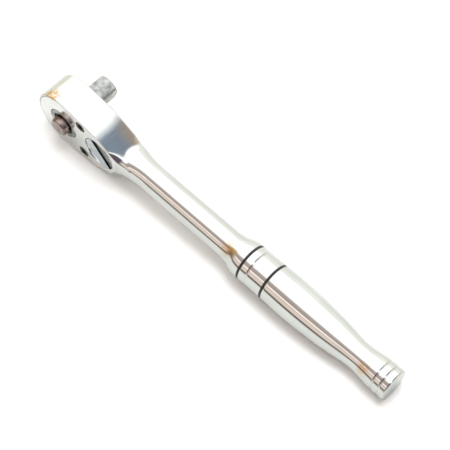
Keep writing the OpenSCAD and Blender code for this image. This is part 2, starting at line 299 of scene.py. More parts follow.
def head_outline(inset, tip_x, steps=96):
    """Outline of the head as (x, z) pairs, drawn in by inset and cut off at tip_x, with its corners cut."""
    r, d = HEAD_R - inset, CHEEK_D - inset
    corner_x = (d * math.cos(SIDE_A) - r * math.cos(CHEEK_A)) / math.sin(CHEEK_A - SIDE_A)
    corner_z = (r - corner_x * math.sin(SIDE_A)) / math.cos(SIDE_A)
    start = 90 - math.degrees(SIDE_A)
    cut_x = tip_x - TIP_CUT_X
    tip_z, cut_z = [(d - x * math.sin(CHEEK_A)) / math.cos(CHEEK_A) for x in (tip_x, cut_x)]
    tip_z -= TIP_CUT_Z
    points = [(tip_x, tip_z), (cut_x, cut_z), (corner_x, corner_z)]
    points += arc(0, 0, r, start, 360 - start, steps)
    points += [(corner_x, -corner_z), (cut_x, -cut_z), (tip_x, -tip_z)]
    return points


def smooth_max(a, b, k):
    """The larger of two distances, blended where they differ by less than k."""
    h = np.clip(0.5 + 0.5 * (a - b) / np.maximum(k, 1e-6), 0, 1)
    return a * h + b * (1 - h) + k * h * (1 - h)


def smooth_step(t):
    """Rises from 0 to 1 as t does, level at both ends."""
    t = np.clip(t, 0, 1)
    return t * t * (3 - 2 * t)


def round_corner(a, b, r):
    """Distance to where two faces meet in an edge rounded to radius r."""
    outside = np.hypot(np.maximum(a + r, 0), np.maximum(b + r, 0))
    return outside + np.minimum(np.maximum(a + r, b + r), 0) - r


def body_distance(x, u, z):
    """Distance to the skin of the head and neck. u runs along the drive axis from the handle's axis."""
    z = np.abs(z)
    along = x * math.cos(SIDE_A) - z * math.sin(SIDE_A)
    line = x * math.sin(SIDE_A) + z * math.cos(SIDE_A) - HEAD_R
    side = np.where(along < 0, np.hypot(x, z) - HEAD_R, line)
    crown = np.maximum(u + 2, 0) ** 2 / (2 * CHEEK_CROWN_R)
    cheek = x * math.sin(CHEEK_A) + z * math.cos(CHEEK_A) - CHEEK_D + crown
    outline = smooth_max(side, cheek, CHEEK_BLEND)
    run = np.maximum(SCOOP_END_X - x, 0)
    wide = NECK_R + SCOOP_R - np.sqrt(np.maximum(SCOOP_R**2 - run**2, 0))
    tall = NECK_R + np.maximum(FILLET_END_X - x, 0) ** 2 / FILLET_R
    scoop = (np.hypot(u / wide, z / tall) - 1) * np.sqrt(wide * tall)
    neck = (np.hypot(u / wide, z / NECK_R) - 1) * np.sqrt(wide * NECK_R)
    fade = smooth_step(run / SCOOP_FADE)
    head = smooth_max(outline, scoop, SCOOP_BLEND * fade)
    skin = -smooth_max(-head, -neck, NECK_BLEND * fade)
    drive_face = u - (FACE_Y + HEAD_T - AXIS_Y)
    cover_face = (FACE_Y - AXIS_Y) - u
    cover_edge_r = COVER_EDGE_R + COVER_EDGE_GROWTH * smooth_step((x - 31) / 7)
    return np.maximum(
        round_corner(skin, drive_face, DRIVE_EDGE_R), round_corner(skin, cover_face, cover_edge_r)
    )


def section(x, count):
    """Upper half of the body's section at x: count + 1 points (u, z) from the cover's to the drive's side.

    Points are closer where the section turns, and go over to even angles towards the round handle.
    """
    theta = np.linspace(0, math.pi, 3001)
    reach, halvings = 24.0, 36
    low, high = np.zeros_like(theta), np.full_like(theta, reach)
    for _ in range(halvings):
        middle = (low + high) / 2
        inside = body_distance(x, -middle * np.cos(theta), middle * np.sin(theta)) < 0
        low, high = np.where(inside, middle, low), np.where(inside, high, middle)
    u, z = -low * np.cos(theta), low * np.sin(theta)
    du, dz = np.diff(u), np.diff(z)
    heading = np.unwrap(np.arctan2(dz, du))
    turn = np.abs(np.diff(heading, prepend=heading[0]))
    turn_weight = 6.0
    weight = np.concatenate([[0], np.cumsum(np.hypot(du, dz) + turn_weight * turn)])
    angle = np.interp(np.linspace(0, weight[-1], count + 1), weight, theta)
    evenly = smooth_step((x - EVEN_X) / (SCOOP_END_X - 2 - EVEN_X))
    angle = (1 - evenly) * angle + evenly * np.linspace(0, math.pi, count + 1)
    r = np.interp(angle, theta, low)
    return -r * np.cos(angle), r * np.sin(angle)


def bezier(points, steps):
    """Points of a curve with four control points, without its first."""
    p = np.array(points, float)
    t = np.linspace(0, 1, steps + 1)[1:, None]
    return (1 - t) ** 3 * p[0] + 3 * t * (1 - t) ** 2 * p[1] + 3 * t**2 * (1 - t) * p[2] + t**3 * p[3]


def spline(xs, ys, at):
    """Natural cubic curve through a few points, level at both ends."""
    xs, ys = np.array(xs, float), np.array(ys, float)
    n, h = len(xs), np.diff(xs)
    matrix, right = np.zeros((n, n)), np.zeros(n)
    matrix[0, :2] = [2 * h[0], h[0]]
    right[0] = 6 * (ys[1] - ys[0]) / h[0]
    matrix[-1, -2:] = [h[-1], 2 * h[-1]]
    right[-1] = -6 * (ys[-1] - ys[-2]) / h[-1]
    for i in range(1, n - 1):
        matrix[i, i - 1 : i + 2] = [h[i - 1], 2 * (h[i - 1] + h[i]), h[i]]
        right[i] = 6 * ((ys[i + 1] - ys[i]) / h[i] - (ys[i] - ys[i - 1]) / h[i - 1])
    m = np.linalg.solve(matrix, right)
    i = np.clip(np.searchsorted(xs, at) - 1, 0, n - 2)
    a, b = xs[i + 1] - at, at - xs[i]
    cubic = (m[i] * a**3 + m[i + 1] * b**3) / (6 * h[i])
    return cubic + (ys[i] / h[i] - m[i] * h[i] / 6) * a + (ys[i + 1] / h[i] - m[i + 1] * h[i] / 6) * b


def handle_profile():
    """(x, radius) pairs of the handle from the neck to its end, grooves left out."""
    neck_end = 94
    neck = [(x, NECK_R) for x in np.linspace(SCOOP_END_X + 1, neck_end, 23)]
    bend = [[neck_end, NECK_R], [100.4, NECK_R], [100.6, 8.55], [COLLAR_X, COLLAR_R]]
    shoulder = [tuple(p) for p in bezier(bend, 30)]
    xs = np.concatenate([np.linspace(106.2, 122, 22), np.linspace(123, KNOB_X, 63)])
    knots = [COLLAR_X, 113, 121, 130, 140, 150, 158, 164, 169.5, 174.5, 179.5, KNOB_X]
    radii = [COLLAR_R, 8.8, 8.87, 9.08, 8.9, 8.3, 7.42, 6.62, 6.32, 6.85, 7.37, KNOB_R]
    grip = list(zip(xs, spline(knots, radii, xs)))
    edge = 0.8
    end = [
        (END_X - edge + edge * math.sin(a), KNOB_R - edge + edge * math.cos(a))
        for a in np.linspace(0.15, 1.57, 8)
    ]
    return neck + shoulder + grip + end


def with_grooves(profile):
    """The handle's profile with square slots for the bands and round-bottomed grooves let in."""
    xs, rs = np.array(profile).T
    slots = [(x, BAND_W / 2 + BAND_EDGE) for x in BAND_X]
    grooves = [(x, GROOVE_W / 2) for x in GROOVE_X]
    clear = 0.05
    out = [
        (x, r) for x, r in profile
        if all(abs(x - middle) > half + clear for middle, half in slots + grooves)
    ]
    for x, half in slots:
        r = float(np.interp(x, xs, rs))
        for side in (-1, 1):
            edge = x + side * BAND_W / 2
            out += [
                (edge + side * BAND_EDGE, r), (edge + side * BAND_EDGE * 0.3, r - BAND_EDGE * 0.3),
                (edge, r - BAND_EDGE), (edge - side * 0.01, r - BAND_D),
            ]
    for x, half in grooves:
        for t in np.linspace(-1, 1, 17):
            at = x + t * half
            depth = GROOVE_D * (0.5 + 0.5 * math.cos(math.pi * t))
            out.append((at, float(np.interp(at, xs, rs)) - depth))
    return sorted(out)


def handle_ring(x, r):
    """Ring about the handle's axis."""
    angles = np.linspace(0, 2 * math.pi, SEGMENTS, endpoint=False)
    return [(x, AXIS_Y - r * math.cos(a), r * math.sin(a)) for a in angles]


def body_rings():
    """Rings of the body's skin from the middle of the round end to the handle's end."""
    half = SEGMENTS // 2
    stations = np.concatenate([
        np.linspace(0, 18, 19)[:-1], np.linspace(18, 24, 19)[:-1], np.linspace(24, SCOOP_END_X, 97)
    ])
    rings = []
    for x in stations:
        u, z = section(float(x), half)
        upper = [(x, AXIS_Y + a, b) for a, b in zip(u, z)]
        rings.append(upper + [(x, y, -b) for x, y, b in upper[-2:0:-1]])
    return rings + [handle_ring(x, r) for x, r in with_grooves(handle_profile())]


def round_end(first_ring):
    """Arcs of the head's round end, turned about the drive axis from one half of the first ring to the other."""
    half = SEGMENTS // 2
    profile = first_ring[: half + 1]
    steps = 72
    return [
        [(p[2] * math.cos(a), p[1], p[2] * math.sin(a)) for p in profile]
        for a in [math.pi / 2 + math.pi * k / steps for k in range(steps + 1)]
    ]


def body_skin():
    """The body's whole outside: rings along the handle with a flat end, and the head's round end."""
    rings = body_rings()
    end = round_end(rings[0])
    verts, faces = [], []
    n = SEGMENTS
    for ring in rings:
        verts.extend(ring)
    for k in range(len(rings) - 1):
        for i in range(n):
            j = (i + 1) % n
            faces.append((k * n + i, k * n + j, (k + 1) * n + j, (k + 1) * n + i))
    last = (len(rings) - 1) * n
    verts.extend(handle_ring(END_X, 3))
    for i in range(n):
        j = (i + 1) % n
        faces.append((last + i, last + j, last + n + j, last + n + i))
    verts.append((END_X, AXIS_Y, 0))
    for i in range(n):
        faces.append((last + n + i, last + n + (i + 1) % n, len(verts) - 1))
    start = len(verts)
    m = len(end[0])
    for strip in end:
        verts.extend(strip)
    for k in range(len(end) - 1):
        for i in range(m - 1):
            a, b = start + k * m + i, start + (k + 1) * m + i
            faces.append((a, b, b + 1, a + 1))
    obj = mesh_object("forged_body", verts, faces)
    bm = bmesh.new()
    bm.from_mesh(obj.data)
    bmesh.ops.remove_doubles(bm, verts=bm.verts, dist=0.0005 * MM)
    bmesh.ops.dissolve_degenerate(bm, edges=bm.edges, dist=0.0002 * MM)
    bmesh.ops.recalc_face_normals(bm, faces=bm.faces)
    bm.to_mesh(obj.data)
    bm.free()
    return obj


# ---------------------------------------------------------------- pieces


def forged_body():
    """Head, neck and handle in one, with the recess for the cover and the spaces behind it."""
    tip = COVER_TIP_X + COVER_TIP_GAP
    recess = loft("recess", [
        [(x, FACE_Y + y, z) for x, z in head_outline(COVER_RIM - flare, tip + flare)]
        for y, flare in ((-2, COVER_EDGE), (0, COVER_EDGE), (COVER_EDGE, 0), (RECESS_T, 0))
    ])
    pocket = [(6, 9.75), (9, 9.75), (9.85, 9.3), (10.7, 8.1), (12.6, 7.4), (SELECTOR_X, 6.6)]
    pocket += [(x, -z) for x, z in reversed(pocket)]
    journal = [(2, HUB_BORE_R), (HEAD_T - 0.25, HUB_BORE_R), (HEAD_T + 0.05, HUB_BORE_R + 0.3)]
    journal += [(HEAD_T + 1, HUB_BORE_R + 0.3)]
    cutters = [
        recess,
        turned("gear_cavity", from_face([(2, 11.6), (11.4, 11.6)])),
        turned("journal", from_face(journal)),
        prism("pawl_pocket", pocket, FACE_Y + 2, FACE_Y + PAWL_DEPTH),
        turned("pocket_end", from_face([(2, 6.8), (PAWL_DEPTH, 6.8)]), x=SELECTOR_X),
        turned("selector_seat", from_face([(2, 9.3), (3.3, 9.3)]), x=SELECTOR_X),
        turned("selector_bore", from_face([(2, 3.05), (13.5, 3.05)]), x=SELECTOR_X, segments=48),
    ]
    for z in (-SCREW_Z, SCREW_Z):
        cutters.append(turned("screw_hole", from_face([(2, 1.5), (9.5, 1.5)]), x=SCREW_X, z=z, segments=32))
    body = body_skin()
    cut(body, cutters)
    return smooth(body, 35)


def cover_plate():
    """Flat plate with broken edges, a hole for the hub and one for the selector, and two countersinks."""
    plate = loft("cover_face", [
        [(x, FACE_Y + y, z) for x, z in head_outline(COVER_RIM + COVER_GAP + inset, COVER_TIP_X - inset, 144)]
        for y, inset in ((COVER_T, 0), (COVER_EDGE, 0), (0, COVER_EDGE))
    ])
    hub_hole = from_face([(-1, 8.08), (0, 8.08), (COVER_EDGE, 7.97), (3, 7.97)])
    lead = SELECTOR_HOLE_R + 0.15
    selector_hole = from_face([(-1, lead), (0, lead), (0.15, SELECTOR_HOLE_R), (3, SELECTOR_HOLE_R)])
    sink = from_face([(-1, 2.95), (0, 2.95), (1.4, 1.6), (3, 1.6)])
    cut(plate, [
        turned("hub_hole", hub_hole, segments=144),
        turned("selector_hole", selector_hole, x=SELECTOR_X, segments=144),
        turned("countersink", sink, x=SCREW_X, z=-SCREW_Z, segments=64),
        turned("countersink", sink, x=SCREW_X, z=SCREW_Z, segments=64),
    ])
    return smooth(plate)


def cover_screw(name, side):
    """Countersunk screw with a hexagon socket."""
    z = side * SCREW_Z
    screw = turned(name, from_face([
        (0.02, 0), (0.02, 2.72), (0.1, 2.83), (0.2, 2.72), (1.4, 1.48), (8.7, 1.48), (9, 1.2), (9, 0),
    ]), x=SCREW_X, z=z, segments=64)
    turn, socket_r = 17 * side, 1.5
    angles = [math.radians(turn + 60 * k) for k in range(6)]
    hexagon = [(SCREW_X + socket_r * math.cos(a), z + socket_r * math.sin(a)) for a in angles]
    lead = from_face([(-1, 1.62), (0.02, 1.62), (0.35, 1.28)])
    cut(screw, [
        prism("socket", hexagon, FACE_Y - 1, FACE_Y + 1.1),
        turned("socket_lead", lead, x=SCREW_X, z=z, segments=48),
    ])
    return smooth(screw)


def grip_band(name, x):
    """Black ring in a groove of the handle, with a slightly crowned outside."""
    proud, crown = 0.02, 0.12
    r_in, r_out, half = COLLAR_R - BAND_D + proud, COLLAR_R + proud, BAND_W / 2 - 0.03
    loop = [(-half, r_in), (half, r_in), (half, r_out - crown)]
    loop += [
        (half * math.cos(a), r_out - crown + 0.1 * math.sin(a)) for a in np.linspace(0.4, math.pi - 0.4, 5)
    ]
    loop += [(-half, r_out - crown)]
    verts, faces = [], []
    n, m = SEGMENTS, len(loop)
    for dx, r in loop:
        verts.extend(handle_ring(x + dx, r))
    for k in range(m):
        a, b = k * n, (k + 1) % m * n
        faces.extend((a + i, a + (i + 1) % n, b + (i + 1) % n, b + i) for i in range(n))
    band = mesh_object(name, verts, faces)
    face_out(band)
    return smooth(band)


def rounded_square(half, limit, y, turn, segments=144):
    """Ring of the square drive: a square whose corners are turned down to a circle of radius limit."""
    ring = []
    for i in range(segments):
        a = 2 * math.pi * i / segments
        c, s = abs(math.cos(a)), abs(math.sin(a))
        square = half / max(c, s)
        blend = 0.18
        h = min(max(0.5 + 0.5 * (square - limit) / blend, 0), 1)
        r = square * (1 - h) + limit * h - blend * h * (1 - h)
        ring.append((r * math.cos(a + turn), y, r * math.sin(a + turn)))
    return ring


def drive_gear():
    """Hub, gear and square drive in one piece, with the button's well and the ball's hole."""
    hub = turned("drive_spindle", from_face([
        (0, 0), (0, 7.52), (0.12, 7.64), (0.95, 7.64), (0.96, 6.83), (2.04, 6.83), (2.05, 7.83), (3.1, 7.83),
        (3.11, 10.4), (10.8, 10.4), (10.85, 8.4), (12.85, 8.4), (12.86, 7.4), (13.94, 7.4), (13.95, 8.4),
        (15.3, 8.4), (15.5, 8.2), (15.51, 7.4),
    ]) + [(-0.15, 7.4), (0, 7.25), (0, 0)], segments=144)
    teeth, tip, root = 72, 11.0, 10.55
    pitch = 2 * math.pi / teeth
    outline = []
    for i in range(teeth):
        for r, share in ((root, -0.43), (tip, -0.07), (tip, 0.07), (root, 0.43)):
            outline.append((r * math.cos(pitch * (i + share)), r * math.sin(pitch * (i + share))))
    gear = prism("teeth", outline, FACE_Y + 3, FACE_Y + 10.9)
    end_y = GEAR_HIGH.y
    stations = [(-1, SQUARE_CORNER_R), (end_y - 1.15, SQUARE_CORNER_R), (end_y - 0.95, 6.2)]
    stations += [(end_y - 0.75, 6.02), (end_y - 0.3, 5.5), (end_y - 0.1, 5.22), (end_y, 4.9)]
    tang = loft("tang", [rounded_square(SQUARE_HALF, limit, y, -SQUARE_TURN) for y, limit in stations])
    cut(hub, [gear, tang], "UNION")
    well = turned("well", from_face([
        (-1, WELL_R + 0.15), (0, WELL_R + 0.15), (0.15, WELL_R), (0.65, WELL_R), (0.66, 6.25), (1.35, 6.25),
        (1.36, WELL_R), (WELL_END, WELL_R), (WELL_END + 0.1, 2.05),
    ]) + [(10.3, 2.05), (10.9, 0)], segments=96)
    ball_y = cad_box("detent_ball")[0].y + BALL_R
    ball_hole = turned("ball_hole", [(0, BALL_R + 0.05), (10, BALL_R + 0.05)], segments=48)
    ball_hole.matrix_world = (
        Matrix.Translation((0, ball_y * MM, 0))
        @ Matrix.Rotation(SQUARE_TURN, 4, "Y")
        @ Matrix.Rotation(math.radians(90), 4, "Z")
    )
    cut(hub, [well, ball_hole])
    return smooth(hub, 25)


def release_button():
    """Button with a rounded rim and a dished face with a small dimple, and a flange below the ring."""
    top = BUTTON_LOW.y
    r, rim, dish, dish_r, dimple_r = 4.5, 0.95, 0.38, 3.5, 0.95
    quarter = math.pi / 2
    profile = [(top + 0.62, 0), (top + 0.6, 0.35), (top + 0.42, 0.75), (top + dish, dimple_r)]
    profile += [
        (top + dish - dish * math.sin(a), dimple_r + (dish_r - dimple_r) * a / quarter)
        for a in np.linspace(0.2, quarter, 9)
    ]
    profile += [
        (top + rim - rim * math.cos(a), r - rim + rim * math.sin(a)) for a in np.linspace(0.12, quarter, 10)
    ]
    profile += from_face([
        (1.35, r), (1.5, r + 0.1), (1.5, 5.2), (1.6, 5.3), (2.6, 5.3), (2.7, 5.2), (2.7, 0),
    ])
    return smooth(turned("release_button_cap", profile, segments=128), 40)


def push_rod():
    """Rod behind the button, with the cone and the waist that the ball sinks into."""
    low, high = cad_box("release_rod")
    r, end = high.x, 0.5
    waist, lead_in, cone_start, cone_end = 0.5 * r, 2.2, 2.2, 6.2
    return smooth(turned("push_rod", [
        (low.y, 0), (low.y, r), (cone_start - lead_in, r), (cone_start - 0.5, waist), (cone_start, waist),
        (cone_end, r), (high.y - end, r), (high.y, r - end), (high.y, 0),
    ]))


def retaining_ring():
    """Split ring in the hub's groove, which holds the button in."""
    ring = turned_ring("button_clip", from_face([
        (0.7, 6.12), (0.78, 6.2), (1.22, 6.2), (1.3, 6.12),
        (1.3, 4.78), (1.22, 4.7), (0.78, 4.7), (0.7, 4.78),
    ]))
    cut(ring, [prism("split", [(3, -1), (9, -1), (9, 1), (3, 1)], FACE_Y, FACE_Y + 2)])
    return smooth(ring)


def selector_lever():
    """Disc with a scooped thumb edge and a lowered half, on the shaft that the pawl rocks on."""
    top = FACE_Y - 0.1
    disc = turned("selector_dial", [(top, 0), (top, 8.15), (top + 0.2, 8.35)] + from_face([
        (1.54, 8.35), (1.55, 7.55), (2.35, 7.55), (2.36, 8.35), (2.45, 9), (3.05, 9), (3.06, 3), (13, 3),
        (13.2, 2.8), (13.2, 0),
    ]), segments=144)
    step = prism("step", [(STEP_X, -12), (14, -12), (14, 12), (STEP_X, 12)], top - 2, FACE_Y + STEP_D)
    scoop_r, scoop_x, scoop_rise = 21.3, -9.0, 20.8
    scoop = turned("thumb_scoop", [(-12, scoop_r), (12, scoop_r)], segments=256)
    scoop.matrix_world = (
        Matrix.Translation((scoop_x * MM, (FACE_Y - scoop_rise) * MM, 0))
        @ Matrix.Rotation(math.radians(90), 4, "X")
    )
    ball_hole = turned("spring_hole", [(-SPRING_HOLE_X, 1.0), (8, 1.0)], segments=32)
    ball_hole.matrix_world = (
        Matrix.Translation((0, (FACE_Y + SPRING_HOLE_D) * MM, 0)) @ Matrix.Rotation(math.radians(-90), 4, "Z")
    )
    cut(disc, [step, scoop, ball_hole])
    disc.data.transform(SELECTOR_PLACE)
    return soften(disc, 0.10)


def selector_arrow():
    """Thin curved arrow on the selector's lowered half, which shows the way it turns."""
    y = FACE_Y + STEP_D
    r, half, tip = 5.6, 0.22, math.radians(24)
    angles = np.linspace(math.radians(-24), math.radians(8), 13)
    head = [(r + 0.75, angles[-1]), (r, tip), (r - 0.75, angles[-1])]
    outline = [(r + half, a) for a in angles] + head + [(r - half, a) for a in reversed(angles)]
    outline = [(radius * math.cos(a), radius * math.sin(a)) for radius, a in outline]
    arrow = prism("selector_arrow", outline, y - 0.06, y + 0.05)
    arrow.data.transform(SELECTOR_PLACE)
    return smooth(arrow)


def coil(name, centre_r, wire, length, turns, base, along):
    """Spring of round wire that stands on the point base and runs along a direction."""
    turn = Vector(along).to_track_quat("Z", "Y").to_matrix()
    per_turn, sides = 24, 10
    pitch = (length - wire) / turns
    rings = []
    for i in range(turns * per_turn + 1):
        a = 2 * math.pi * i / per_turn
        ring = []
        for k in range(sides):
            b = 2 * math.pi * k / sides
            r = centre_r + wire / 2 * math.cos(b)
            rise = wire / 2 + pitch * i / per_turn + wire / 2 * math.sin(b)
            ring.append(tuple(Vector(base) + turn @ Vector((r * math.cos(a), r * math.sin(a), rise))))
        rings.append(ring)
    obj = loft(name, rings)
    smooth(obj, 50)
    return obj


# ---------------------------------------------------------------- materials


EVEN = (1.0, 1.0, 1.0)
ALONG = (0.04, 1.0, 1.0)   # streaks along the handle


class Shader:
    """Builds the node tree of a new material, or of another owner of nodes."""

    def __init__(self, owner):
        owner.use_nodes = True
        self.owner = owner
        self.tree = owner.node_tree
        self.tree.nodes.clear()

    def node(self, kind, inputs=None, **settings):
        made = self.tree.nodes.new(kind)
        for key, value in settings.items():
            setattr(made, key, value)
        for key, value in (inputs or {}).items():
            if isinstance(value, bpy.types.NodeSocket):
                self.tree.links.new(value, made.inputs[key])
            else:
                made.inputs[key].default_value = value
        return made

    def surface(self, **inputs):
        """Principled surface as the material's result. Underscores in the names stand for spaces."""
        named = {name.replace("_", " "): value for name, value in inputs.items()}
        shader = self.node("ShaderNodeBsdfPrincipled", named)
        self.node("ShaderNodeOutputMaterial", {"Surface": shader.outputs[0]})
        return self.owner

    def bump(self, height, distance, normal=None, strength=1.0, **settings):
        """Fine relief, with its height in metres, laid over an earlier one."""
        inputs = {"Height": height, "Distance": distance, "Strength": strength}
        if normal is not None:
            inputs["Normal"] = normal
        return self.node("ShaderNodeBump", inputs, **settings).outputs["Normal"]

    def choose(self, share, a, b):
        """Number between a and b."""
        return self.node("ShaderNodeMix", {0: share, 2: a, 3: b}).outputs[0]

    def math(self, operation, a, b=0.0):
        return self.node("ShaderNodeMath", {0: a, 1: b}, operation=operation).outputs[0]

    def spread(self, value, low, high, to_low, to_high):
        """Maps value from one range to another, held at the ends."""
        made = self.node(
            "ShaderNodeMapRange",
            {"Value": value, "From Min": low, "From Max": high, "To Min": to_low, "To Max": to_high},
        )
        return made.outputs["Result"]

    def ramp(self, value, stops):
        made = self.node("ShaderNodeValToRGB", {"Fac": value})
        elements = made.color_ramp.elements
        while len(elements) < len(stops):
            elements.new(1.0)
        for element, (place, color) in zip(elements, stops):
            element.position = place
            element.color = (*color, 1.0)
        return made.outputs["Color"]

    def mix(self, share, a, b):
        made = self.node("ShaderNodeMix", data_type="RGBA")
        for index, value in ((0, share), (6, a), (7, b)):
            if isinstance(value, bpy.types.NodeSocket):
                self.tree.links.new(value, made.inputs[index])
            else:
                made.inputs[index].default_value = (*value, 1.0) if isinstance(value, tuple) else value
        return made.outputs[2]

    def place(self, scale):
        """The object's own coordinates, stretched. They are metres in the part's frame."""
        coords = self.node("ShaderNodeTexCoord").outputs["Object"]
        return self.node("ShaderNodeMapping", {"Vector": coords, "Scale": scale}).outputs["Vector"]

    def noise(self, scale, size, detail=3.0, rough=0.55):
        inputs = {"Vector": self.place(scale), "Scale": size, "Detail": detail, "Roughness": rough}
        return self.node("ShaderNodeTexNoise", inputs).outputs["Fac"]

    def near(self, point, inner, outer):
        """1 close to a point, given in millimetres, and 0 beyond the outer distance."""
        coords = self.node("ShaderNodeTexCoord").outputs["Object"]
        place = tuple(value * MM for value in point)
        away = self.node("ShaderNodeVectorMath", {0: coords, 1: place}, operation="DISTANCE").outputs["Value"]
        return self.spread(away, inner * MM, outer * MM, 1.0, 0.0)

    def facing(self, direction, low, high):
        """1 where the surface faces a direction, 0 elsewhere."""
        normal = self.node("ShaderNodeNewGeometry").outputs["Normal"]
        return self.spread(self.dot(normal, direction), low, high, 0.0, 1.0)

    def dot(self, a, b):
        return self.node("ShaderNodeVectorMath", {0: a, 1: b}, operation="DOT_PRODUCT").outputs["Value"]


def metal(name, dark, light, rough, bumps, tint_noise=(120.0, 4.0)):
    """Metal whose colour and gloss vary, with one bump layer for each (stretch, size, detail, height)."""
    s = Shader(bpy.data.materials.new(name))
    color = s.mix(s.spread(s.noise(EVEN, *tint_noise), 0.35, 0.65, 0.0, 1.0), dark, light)
    roughness = s.spread(s.noise(EVEN, 700.0), 0.3, 0.7, *rough)
    normal = None
    for stretch, size, detail, height in bumps:
        normal = s.bump(s.noise(stretch, size, detail), height, normal)
    return s.surface(Base_Color=color, Metallic=1.0, Roughness=roughness, Normal=normal)


def dull(name, dark, light, rough, size=900.0, height=0.00001):
    """Paint, plastic or rubber with a fine grain."""
    s = Shader(bpy.data.materials.new(name))
    grain = s.noise(EVEN, size, 4.0)
    color = s.mix(s.spread(grain, 0.35, 0.65, 0.0, 1.0), dark, light)
    roughness = s.spread(s.noise(EVEN, size * 0.3), 0.3, 0.7, *rough)
    return s.surface(Base_Color=color, Roughness=roughness, Normal=s.bump(grain, height, strength=0.6))


def body_chrome():
    """Polished chrome with faint ripples, brushed cheeks, and brown stains and pits where it has worn."""
    s = Shader(bpy.data.materials.new("body_chrome"))
    tint = s.spread(s.noise((0.5, 1, 1), 120.0), 0.35, 0.65, 0.0, 1.0)
    clean = s.mix(tint, (0.70, 0.72, 0.705), (0.76, 0.78, 0.765))

    # Brown film at the cover's edge by the round end, at the collar and at the waist
    film = s.near((-6.5, FACE_Y + 0.6, 14.3), 2.6, 5.4)
    for point, inner, outer in (((97.5, AXIS_Y - 5, 6), 0.5, 4.8), ((174.0, AXIS_Y - 5, 4.5), 0.3, 4.0)):
        film = s.math("MAXIMUM", film, s.near(point, inner, outer))
    patches = s.spread(s.noise(EVEN, 520.0, 4.0, 0.7), 0.30, 0.56, 0.0, 0.95)
    stained = s.mix(s.math("MULTIPLY", film, patches), clean, (0.60, 0.35, 0.10))

    # Fine dark pits on the round end
    pitted = s.near((-8.5, FACE_Y + 6, 13), 2.5, 9.0)
    specks = s.spread(s.noise(EVEN, 1500.0, 2.0, 0.5), 0.62, 0.70, 0.0, 1.0)
    pits = s.math("MULTIPLY", pitted, specks)
    color = s.mix(pits, stained, (0.30, 0.26, 0.18))

    # Brushed cheeks, rougher than the rest
    upper = s.facing((math.sin(CHEEK_A), 0, math.cos(CHEEK_A)), 0.975, 0.992)
    lower = s.facing((math.sin(CHEEK_A), 0, -math.cos(CHEEK_A)), 0.975, 0.992)
    cheek = s.math("MAXIMUM", upper, lower)
    gloss = s.spread(s.noise((0.5, 1, 1), 700.0), 0.3, 0.7, 0.04, 0.10)
    worn = s.spread(s.noise((1, 0.12, 1), 1400.0, 3.0), 0.35, 0.65, 0.07, 0.20)
    strokes = s.math("MULTIPLY", s.noise((1, 0.15, 1), 3400.0, 2.0), 0.6)
    brushed = s.math("ADD", strokes, s.noise((0.15, 1, 0.15), 2600.0, 2.0))

    normal = s.bump(s.noise(EVEN, 45.0, 1.0), 0.00004)
    normal = s.bump(s.noise(ALONG, 2600.0, 2.0), 0.0000012, normal)
    normal = s.bump(s.math("MULTIPLY", brushed, cheek), 0.000012, normal)
    normal = s.bump(pits, 0.00002, normal, invert=True)
    return s.surface(Base_Color=color, Metallic=1.0, Roughness=s.choose(cheek, gloss, worn), Normal=normal)


def selector_chrome():
    """Bluish chrome, with the lowered half left rough and the step's wall painted near black as painted shade.
    """
    s = Shader(bpy.data.materials.new("selector_chrome"))
    coords = s.node("ShaderNodeTexCoord").outputs["Object"]
    across = (math.cos(SELECTOR_TURN), 0, math.sin(SELECTOR_TURN))
    beside = s.math("SUBTRACT", s.dot(coords, across), SELECTOR_X * MM * across[0])
    depth = s.math("SUBTRACT", s.node("ShaderNodeSeparateXYZ", {"Vector": coords}).outputs[1], FACE_Y * MM)
    past_step = s.spread(beside, (STEP_X - 0.12) * MM, (STEP_X - 0.06) * MM, 0.0, 1.0)
    below_face = s.spread(depth, 0.06 * MM, 0.12 * MM, 0.0, 1.0)
    at_floor = s.spread(depth, (STEP_D - 0.14) * MM, (STEP_D - 0.08) * MM, 0.0, 1.0)
    # Mask of the step's wall, which is painted near black as painted shade from the raised half
    painted_shade_wall = s.math("MULTIPLY", past_step, below_face)
    on_floor = s.math("MULTIPLY", past_step, at_floor)

    tint = s.spread(s.noise(EVEN, 300.0, 3.0), 0.35, 0.65, 0.0, 1.0)
    polished = s.mix(tint, (0.58, 0.64, 0.69), (0.74, 0.79, 0.83))
    grain = s.noise(EVEN, 1300.0, 4.0, 0.6)
    rough_half = s.mix(s.spread(grain, 0.38, 0.62, 0.0, 1.0), (0.34, 0.35, 0.34), (0.66, 0.68, 0.66))
    # Near black on the step's wall is painted shade; the lowered half keeps its own rough grey
    color = s.mix(on_floor, s.mix(painted_shade_wall, polished, (0.012, 0.014, 0.016)), rough_half)
    gloss = s.spread(s.noise((1, 1, 0.3), 700.0), 0.3, 0.7, 0.06, 0.15)
    normal = s.bump(s.noise((1, 1, 0.2), 900.0), 0.000004)
    normal = s.bump(s.math("MULTIPLY", grain, on_floor), 0.00008, normal)
    return s.surface(Base_Color=color, Metallic=1.0, Roughness=s.choose(painted_shade_wall, gloss, 0.55), Normal=normal)


